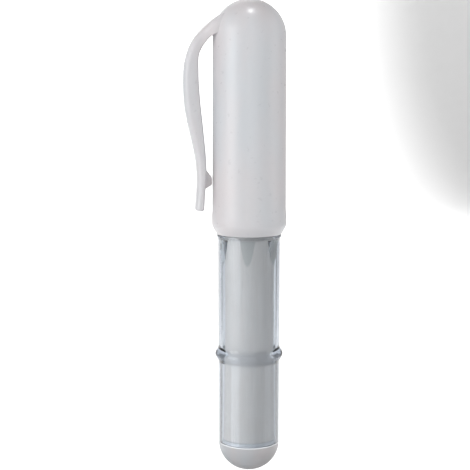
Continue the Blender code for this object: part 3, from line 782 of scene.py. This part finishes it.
def makeWheel(size):
    low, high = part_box("marking_wheel")
    axleHeight = (low.z + high.z) / 2
    radius = (high.z - low.z) / 2
    startPiece()
    bpy.ops.mesh.primitive_cylinder_add(vertices=2 * size["teeth"], radius=radius,
                                        depth=size["thickness"] * mm,
                                        location=(0, 0, axleHeight), rotation=(math.pi / 2, 0, 0))
    wheel = bpy.context.active_object
    wheel.name = wheel.data.name = "toothed_wheel"
    settlePlace()

    def isGap(v):
        turn = math.atan2(v.co.x, v.co.z - axleHeight) / math.tau * 2 * size["teeth"]
        return round(turn) % 2 == 1

    bpy.ops.object.mode_set(mode="EDIT")
    pick("VERT", isGap)
    shrink = 1 - size["toothDepth"] * mm / radius
    bpy.ops.transform.resize(value=(shrink, 1, shrink), center_override=(0, 0, axleHeight))
    pick("FACE", lambda f: abs(f.normal.y) > 0.9)
    bpy.ops.mesh.inset(thickness=0.35 * mm)  # a thin land inside the teeth
    pick("FACE", lambda f: abs(f.normal.y) > 0.9 and len(f.verts) > 8)
    bpy.ops.mesh.inset(thickness=0.45 * mm)
    pick("FACE", lambda f: f.normal.y > 0.9 and len(f.verts) > 8)
    bpy.ops.mesh.extrude_region_move(TRANSFORM_OT_translate={"value": (0, size["hubProud"] * mm, 0)})
    pick("FACE", lambda f: f.normal.y < -0.9 and len(f.verts) > 8)
    bpy.ops.mesh.extrude_region_move(TRANSFORM_OT_translate={"value": (0, -size["hubProud"] * mm, 0)})
    bpy.ops.object.mode_set(mode="OBJECT")

    startPiece()
    bpy.ops.mesh.primitive_cylinder_add(vertices=48, radius=size["bore"] * mm, depth=6 * mm,
                                        location=(0, 0, axleHeight), rotation=(math.pi / 2, 0, 0))
    bore = bpy.context.active_object
    settlePlace()
    cutAway(wheel, bore)
    applyModifier(wheel, "BEVEL", width=0.04 * mm, segments=2, limit_method="ANGLE",
                  angle_limit=math.radians(30))
    finishPiece(wheel, wheelBrass, ["marking_wheel"], "wheel")


def makeAxle():
    low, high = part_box("wheel_axle")
    middle = (low + high) / 2
    startPiece()
    bpy.ops.mesh.primitive_cylinder_add(vertices=48, radius=(high.z - low.z) / 2, depth=high.y - low.y,
                                        location=middle, rotation=(math.pi / 2, 0, 0))
    axle = bpy.context.active_object
    axle.name = axle.data.name = "axle_pin"
    settlePlace()
    bpy.ops.object.mode_set(mode="EDIT")
    pick("EDGE", lambda e: any(abs(f.normal.y) > 0.9 for f in e.link_faces)
         and any(abs(f.normal.y) < 0.5 for f in e.link_faces))
    bpy.ops.mesh.bevel(offset=0.12 * mm, segments=3, affect="EDGES")
    bpy.ops.object.mode_set(mode="OBJECT")
    finishPiece(axle, axleSteel, ["wheel_axle"], "pen_body")


makeNozzle(nozzleSize)
makeFork(forkSize)
makeWheel(wheelSize)
makeAxle()


studio = {
    "floorDrop": 80, "floorReach": 1400, "wallRound": 500, "wallTop": 1900,  # mm
    "floorColour": "#f4f4f4",
    "glow": 0.78, "frontGlow": 0.75, "sideGlow": 0.06,
    "stripInner": 0.4, "stripOuter": 0.62,  # metres from the pen's axis
    "shadeInner": 0.09, "shadeOuter": 0.22, "underPen": 0.45,
    "world": 0.15,
}
lamps = {
    # name: (size x, size y, power, place, aim), metres and watts
    "keyLeft": (0.6, 0.8, 4.3, (-0.82, -0.36, 0.2), (0, 0, 0.06)),
    "sparkLeft": (0.1, 0.1, 0.12, (-0.76, -0.42, 0.16), (0, 0, 0.1)),
    "fillRight": (0.5, 0.8, 1.5, (0.9, -0.25, 0.2), (0, 0, 0.06)),
    "overhead": (0.12, 0.12, 1.9, (0.02, -0.14, 0.85), (0, 0, 0.06)),
    "backdrop": (0.5, 0.7, 1.0, (0.0, 0.9, 1.0), (0, 1.2, 0.0)),
}
cameraPlan = {
    "focal": 84.3, "azimuth": -8, "elevation": 7.5, "distance": 279.3, "aimHeight": 61.13, "sideways": -3.58,
}


def makeStudio(plan):
    material, shader = startMaterial("paleStudioPaperPaintedLight")
    # Matt background paper: pale, with a barely visible fibre mottle, and painted light and shade on it.
    place = addNode(material, "ShaderNodeTexCoord")
    fibre = addNode(material, "ShaderNodeTexNoise",
                    [("Vector", place.outputs["Object"]), ("Scale", 40), ("Detail", 3)])
    tone = addNode(material, "ShaderNodeValToRGB", [("Fac", fibre.outputs["Fac"])],
                   [(0.3, toLinear("#f2f2f2")), (0.7, toLinear(plan["floorColour"]))])
    # Painted light: the paper glows by emission in a broad strip behind the pen, and not right under it.
    split = addNode(material, "ShaderNodeSeparateXYZ", [("Vector", place.outputs["Object"])])
    side = addNode(material, "ShaderNodeMath", [(0, split.outputs["X"])], operation="ABSOLUTE")
    strip = addNode(material, "ShaderNodeMapRange",
                    [("Value", side.outputs["Value"]), ("From Min", plan["stripInner"]),
                     ("From Max", plan["stripOuter"]),
                     ("To Min", plan["glow"]), ("To Max", plan["sideGlow"])], interpolation_type="SMOOTHSTEP")
    flat = addNode(material, "ShaderNodeVectorMath", [(0, place.outputs["Object"]), (1, (1, 1, 0))],
                   operation="MULTIPLY")
    away = addNode(material, "ShaderNodeVectorMath", [(0, flat.outputs["Vector"])], operation="LENGTH")
    under = addNode(material, "ShaderNodeMapRange",
                    [("Value", away.outputs["Value"]), ("From Min", plan["shadeInner"]),
                     ("From Max", plan["shadeOuter"]),
                     ("To Min", 0.0), ("To Max", 1.0)], interpolation_type="SMOOTHSTEP")
    behind = addNode(material, "ShaderNodeMapRange",
                     [("Value", split.outputs["Y"]), ("From Min", -0.2), ("From Max", 0.1),
                      ("To Min", plan["frontGlow"]), ("To Max", 1.0)], interpolation_type="SMOOTHSTEP")
    spread = addNode(material, "ShaderNodeMath", [(0, strip.outputs["Result"]), (1, under.outputs["Result"])],
                     operation="MULTIPLY")
    light = addNode(material, "ShaderNodeMath", [(0, spread.outputs["Value"]), (1, behind.outputs["Result"])],
                    operation="MULTIPLY")
    # painted shadow: the paper's colour is darker right under the pen
    shade = addNode(material, "ShaderNodeMapRange",
                    [("Value", under.outputs["Result"]), ("To Min", plan["underPen"]), ("To Max", 1.0)])
    darker = addNode(material, "ShaderNodeVectorMath",
                     [(0, tone.outputs["Color"]), ("Scale", shade.outputs["Result"])],
                     operation="SCALE")
    material.node_tree.links.new(darker.outputs["Vector"], shader.inputs["Base Color"])
    material.node_tree.links.new(light.outputs["Value"], shader.inputs["Emission Strength"])
    shader.inputs["Emission Color"].default_value = grey(1)
    shader.inputs["Roughness"].default_value = 0.9
    shader.inputs["Specular IOR Level"].default_value = 0.1
    drop, reach, curve = -plan["floorDrop"], plan["floorReach"], plan["wallRound"]
    profile = [(0, drop), (reach * 0.3, drop), (reach, drop)]
    profile += arcPoints((reach, drop + curve), (curve, curve), -90, 0, 12)[1:]
    profile.append((reach + curve, plan["wallTop"]))
    floor = turnPiece("studio_floor", profile, 96)
    startPiece()
    floor.select_set(True)
    bpy.context.view_layer.objects.active = floor
    bpy.ops.object.shade_smooth()
    floor.data.materials.append(material)

    world = bpy.data.worlds.new("studioAir")
    bpy.context.scene.world = world
    world.use_nodes = True
    world.node_tree.nodes["Background"].inputs["Color"].default_value = grey(plan["world"])
    for name, (sizeX, sizeY, power, spot, aim) in lamps.items():
        lamp = bpy.data.lights.new(name, "AREA")
        lamp.shape = "RECTANGLE"
        lamp.size, lamp.size_y, lamp.energy = sizeX, sizeY, power
        holder = bpy.data.objects.new(name, lamp)
        bpy.context.scene.collection.objects.link(holder)
        holder.location = spot
        holder.rotation_euler = (Vector(aim) - Vector(spot)).to_track_quat("-Z", "Y").to_euler()


def makeCamera(plan):
    turn, lift = math.radians(plan["azimuth"]), math.radians(plan["elevation"])
    back = Vector((math.sin(turn) * math.cos(lift), -math.cos(turn) * math.cos(lift), math.sin(lift)))
    right = Vector((math.cos(turn), math.sin(turn), 0))
    camera = bpy.data.objects.new("penCamera", bpy.data.cameras.new("penCamera"))
    bpy.context.scene.collection.objects.link(camera)
    camera.data.lens = plan["focal"]
    camera.data.clip_start, camera.data.clip_end = 0.01, 20
    aim = Vector((0, 0, plan["aimHeight"] * mm))
    camera.location = aim + back * plan["distance"] * mm + right * plan["sideways"] * mm
    camera.rotation_euler = (-back).to_track_quat("-Z", "Y").to_euler()
    bpy.context.scene.camera = camera


makeStudio(studio)
makeCamera(cameraPlan)
bpy.context.scene.view_settings.view_transform = "Standard"
print("studio and camera ready")
